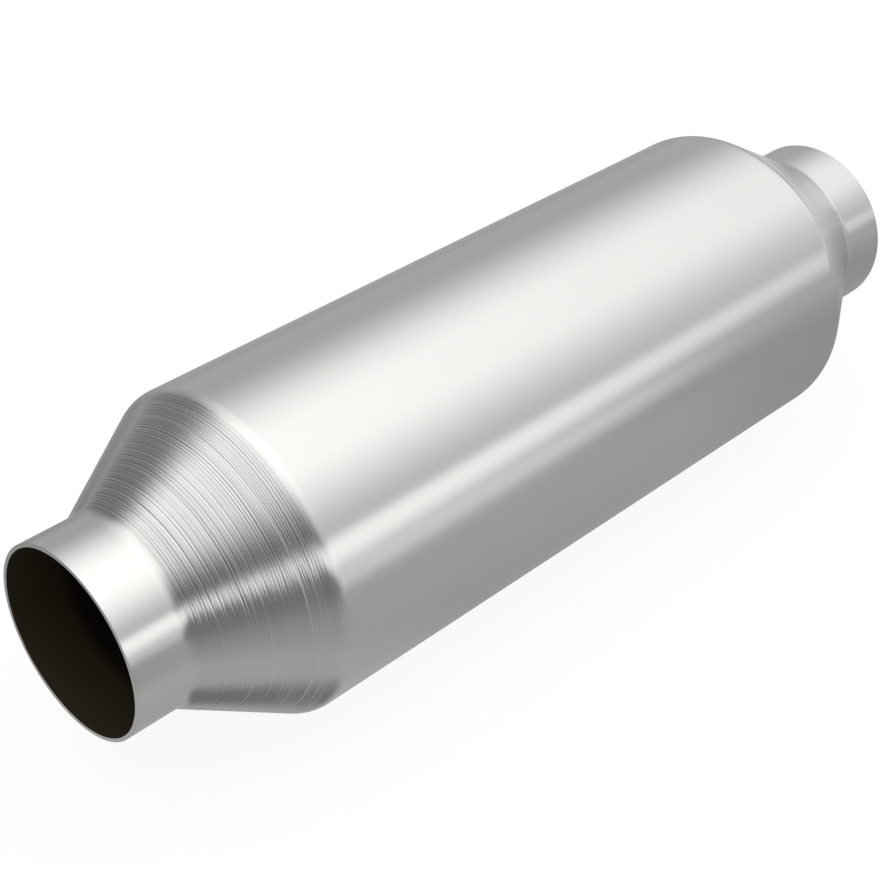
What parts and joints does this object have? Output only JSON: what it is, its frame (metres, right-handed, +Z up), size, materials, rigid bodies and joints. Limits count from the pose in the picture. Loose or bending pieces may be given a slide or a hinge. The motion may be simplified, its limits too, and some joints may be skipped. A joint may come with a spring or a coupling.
{
  "type": "catalytic converter",
  "caption": "Round spun-steel exhaust catalytic converter: a cylinder with a cone and short pipe neck at each end, holding honeycomb bricks in mats.",
  "frame": {"origin": "on the flow axis, halfway between the two mouths", "axes": "+X along the flow from the inlet mouth to the outlet mouth, +Z up, as it hangs level under a vehicle"},
  "size_m": [0.3312, 0.102, 0.102],
  "materials": {
    "shell_steel": "satin stainless steel with fine spinning marks",
    "brick_ceramic": "matt washcoated ceramic",
    "mat_fibre": "pressed fibre and vermiculite",
    "ring_wire": "knitted wire, pressed"
  },
  "bodies": {
    "root": {"shell": "shell_steel", "front_brick": "brick_ceramic", "rear_brick": "brick_ceramic", "front_mat": "mat_fibre", "rear_mat": "mat_fibre", "front_mat_inlet_ring": "ring_wire", "front_mat_outlet_ring": "ring_wire", "rear_mat_inlet_ring": "ring_wire", "rear_mat_outlet_ring": "ring_wire"}
  },
  "joints": []
}
